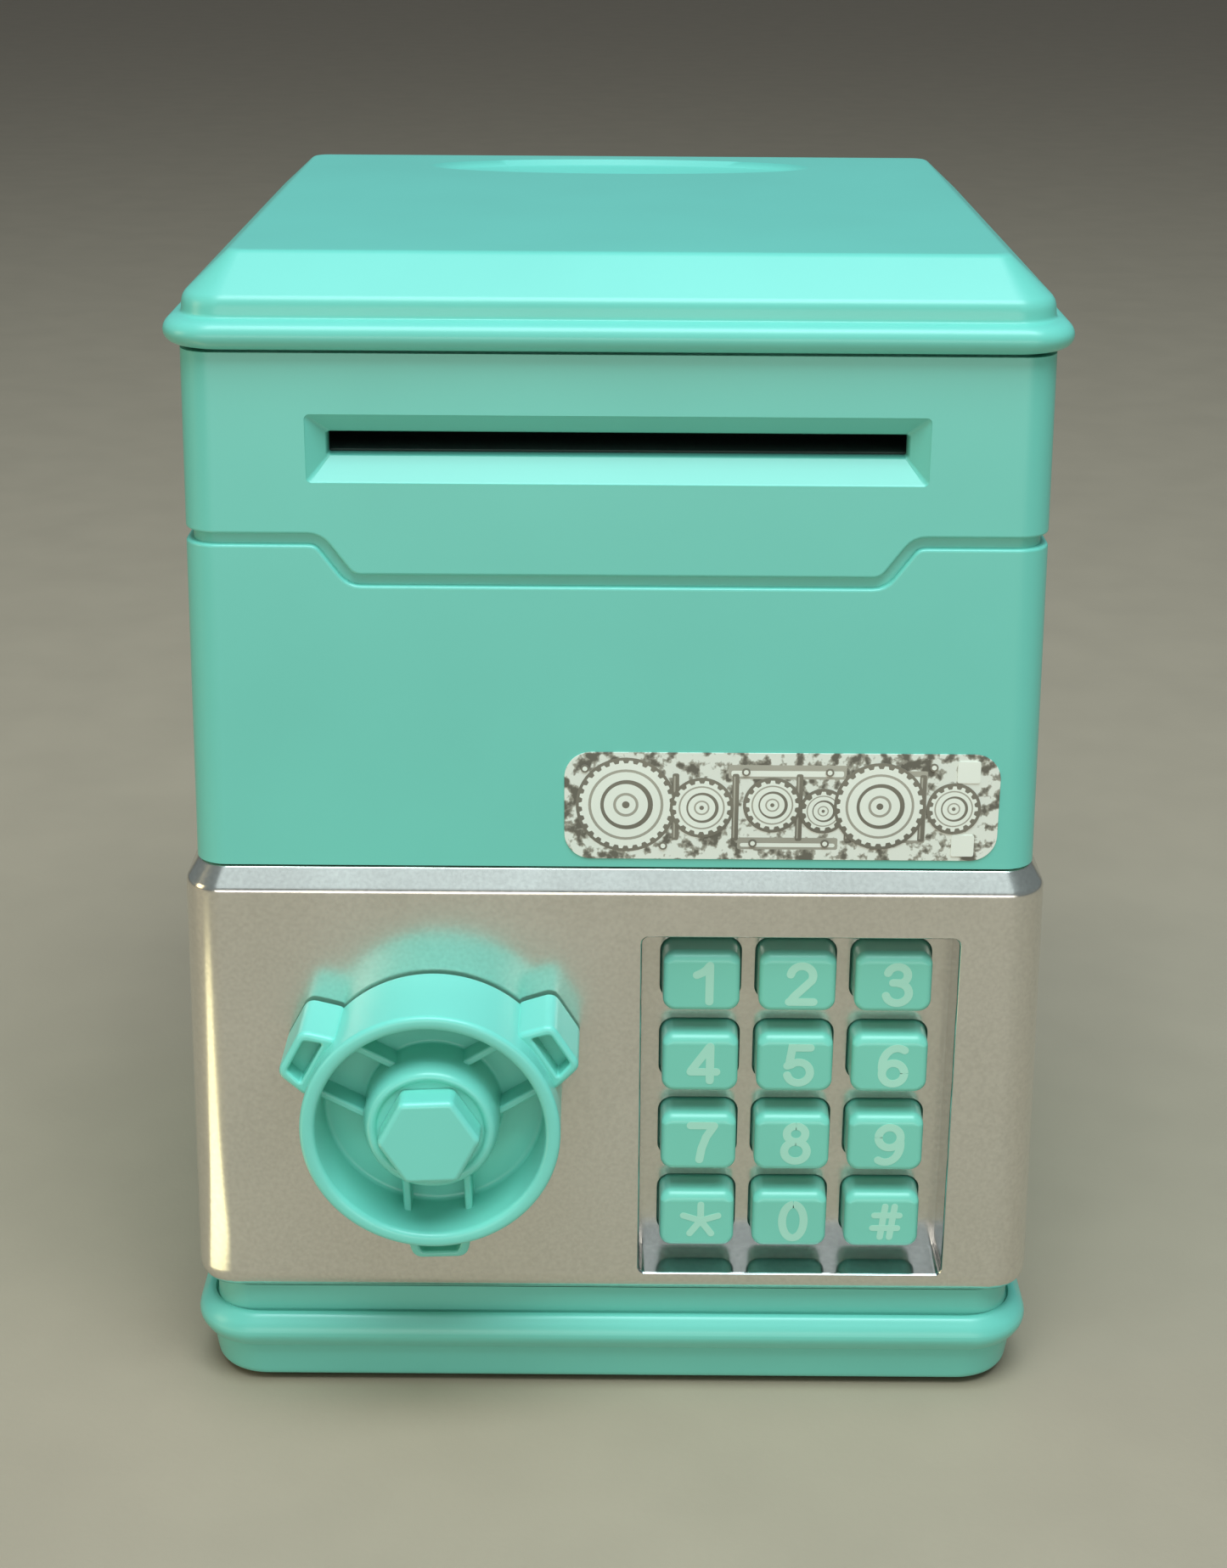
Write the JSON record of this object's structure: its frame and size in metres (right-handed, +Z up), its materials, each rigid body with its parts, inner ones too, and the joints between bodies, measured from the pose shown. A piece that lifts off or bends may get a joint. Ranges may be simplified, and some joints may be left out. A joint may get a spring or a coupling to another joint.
{
  "type": "toy safe coin bank",
  "caption": "Toy safe money box with a hinged keypad door, lock knob and sliding bolt, a motorised banknote slot in front and a coin slot in the lid.",
  "frame": {"origin": "bottom centre of the bounding box, knob included, on the plane the rubber feet stand on", "axes": "+Z up, -Y towards the viewer of the door, +X to the right seen from the front"},
  "size_m": [0.135, 0.1496, 0.1813],
  "materials": {
    "teal_plastic": "semi-gloss moulded teal, faint moulded texture",
    "knob_plastic": "semi-gloss moulded teal",
    "key_plastic": "satin translucent teal with pale printed symbols",
    "silver_paint": "satin silver paint over plastic",
    "grey_plastic": "matt grey",
    "foot_rubber": "matt black",
    "mat_rubber": "matt pale grey silicone",
    "steel": "plated",
    "circuit_board": "green solder mask",
    "label_film": "printed satin film",
    "cell_wrap": "printed shrink sleeve",
    "nylon": "natural nylon"
  },
  "bodies": {
    "case": {"top_lid": "teal_plastic", "upper_housing": "teal_plastic", "main_housing": "teal_plastic", "base": "teal_plastic", "battery_cover": "teal_plastic", "battery_cover_screw": "steel", "cash_floor": "grey_plastic", "rubber_foot_front_left": "foot_rubber", "rubber_foot_front_right": "foot_rubber", "rubber_foot_rear_left": "foot_rubber", "rubber_foot_rear_right": "foot_rubber", "case_screw_front_left": "steel", "case_screw_rear_left": "steel", "case_screw_front_right": "steel", "case_screw_rear_right": "steel", "mechanism_label": "label_film", "speaker": "grey_plastic", "main_board": "circuit_board", "battery_1": "cell_wrap", "battery_2": "cell_wrap", "battery_3": "cell_wrap", "hinge_pin_lower": "steel", "hinge_pin_upper": "steel", "feeder_chassis": "grey_plastic", "feed_motor": "steel"},
    "door": {"door_shell": "silver_paint", "door_back_cover": "teal_plastic", "keypad_mat": "mat_rubber", "keypad_board": "circuit_board", "lock_solenoid": "steel", "plunger_spring": "steel"},
    "knob": {"knob_wheel": "knob_plastic", "knob_hex_cap": "knob_plastic", "knob_spindle": "nylon"},
    "bolt": {"latch_bolt": "nylon"},
    "plunger": {"solenoid_plunger": "steel"},
    "feed_rollers": {"feed_gear": "nylon", "feed_shaft": "steel", "feed_roller_left": "foot_rubber", "feed_roller_right": "foot_rubber"},
    "pinion": {"motor_pinion": "nylon"},
    "pinch_rollers": {"pinch_shaft": "steel", "pinch_roller_left": "foot_rubber", "pinch_roller_right": "foot_rubber"},
    "key_1": {"key_1": "key_plastic"},
    "key_2": {"key_2": "key_plastic"},
    "key_3": {"key_3": "key_plastic"},
    "key_4": {"key_4": "key_plastic"},
    "key_5": {"key_5": "key_plastic"},
    "key_6": {"key_6": "key_plastic"},
    "key_7": {"key_7": "key_plastic"},
    "key_8": {"key_8": "key_plastic"},
    "key_9": {"key_9": "key_plastic"},
    "key_star": {"key_star": "key_plastic"},
    "key_0": {"key_0": "key_plastic"},
    "key_hash": {"key_hash": "key_plastic"}
  },
  "joints": [
    {"name": "door_hinge", "type": "hinge", "parent": "case", "child": "door", "pos_m": [0.0618, -0.04034, 0.0523], "axis": [0, 0, 1], "range_deg": [0, 90]},
    {"name": "knob_turn", "type": "hinge", "parent": "door", "child": "knob", "pos_m": [-0.0273, -0.05631, 0.0553], "axis": [0, -1, 0], "range_deg": [0, 60]},
    {"name": "bolt_slide", "type": "slide", "parent": "door", "child": "bolt", "axis": [-1, 0, 0], "range_m": [0, 0.00905]},
    {"name": "plunger_slide", "type": "slide", "parent": "door", "child": "plunger", "axis": [0, 0, 1], "range_m": [0, 0.003], "stiffness_N_per_m": 120, "springref_m": -0.002, "deforming": ["plunger_spring"]},
    {"name": "feed_spin", "type": "hinge", "parent": "case", "child": "feed_rollers", "pos_m": [0, -0.02754, 0.1493], "axis": [1, 0, 0], "continuous": true},
    {"name": "motor_spin", "type": "hinge", "parent": "case", "child": "pinion", "pos_m": [0.048, -0.01754, 0.1358], "axis": [1, 0, 0], "continuous": true},
    {"name": "pinch_spin", "type": "hinge", "parent": "case", "child": "pinch_rollers", "pos_m": [0, -0.02754, 0.1603], "axis": [1, 0, 0], "continuous": true},
    {"name": "key_1_press", "type": "slide", "parent": "door", "child": "key_1", "axis": [0, 1, 0], "range_m": [0, 0.0015], "stiffness_N_per_m": 300},
    {"name": "key_2_press", "type": "slide", "parent": "door", "child": "key_2", "axis": [0, 1, 0], "range_m": [0, 0.0015], "stiffness_N_per_m": 300},
    {"name": "key_3_press", "type": "slide", "parent": "door", "child": "key_3", "axis": [0, 1, 0], "range_m": [0, 0.0015], "stiffness_N_per_m": 300},
    {"name": "key_4_press", "type": "slide", "parent": "door", "child": "key_4", "axis": [0, 1, 0], "range_m": [0, 0.0015], "stiffness_N_per_m": 300},
    {"name": "key_5_press", "type": "slide", "parent": "door", "child": "key_5", "axis": [0, 1, 0], "range_m": [0, 0.0015], "stiffness_N_per_m": 300},
    {"name": "key_6_press", "type": "slide", "parent": "door", "child": "key_6", "axis": [0, 1, 0], "range_m": [0, 0.0015], "stiffness_N_per_m": 300},
    {"name": "key_7_press", "type": "slide", "parent": "door", "child": "key_7", "axis": [0, 1, 0], "range_m": [0, 0.0015], "stiffness_N_per_m": 300},
    {"name": "key_8_press", "type": "slide", "parent": "door", "child": "key_8", "axis": [0, 1, 0], "range_m": [0, 0.0015], "stiffness_N_per_m": 300},
    {"name": "key_9_press", "type": "slide", "parent": "door", "child": "key_9", "axis": [0, 1, 0], "range_m": [0, 0.0015], "stiffness_N_per_m": 300},
    {"name": "key_star_press", "type": "slide", "parent": "door", "child": "key_star", "axis": [0, 1, 0], "range_m": [0, 0.0015], "stiffness_N_per_m": 300},
    {"name": "key_0_press", "type": "slide", "parent": "door", "child": "key_0", "axis": [0, 1, 0], "range_m": [0, 0.0015], "stiffness_N_per_m": 300},
    {"name": "key_hash_press", "type": "slide", "parent": "door", "child": "key_hash", "axis": [0, 1, 0], "range_m": [0, 0.0015], "stiffness_N_per_m": 300}
  ],
  "couplings": [
    {"joint": "bolt_slide", "follows": "knob_turn", "m_per_rad": 0.0085944},
    {"joint": "motor_spin", "follows": "feed_spin", "ratio": -2.5},
    {"joint": "pinch_spin", "follows": "feed_spin", "ratio": -1}
  ]
}
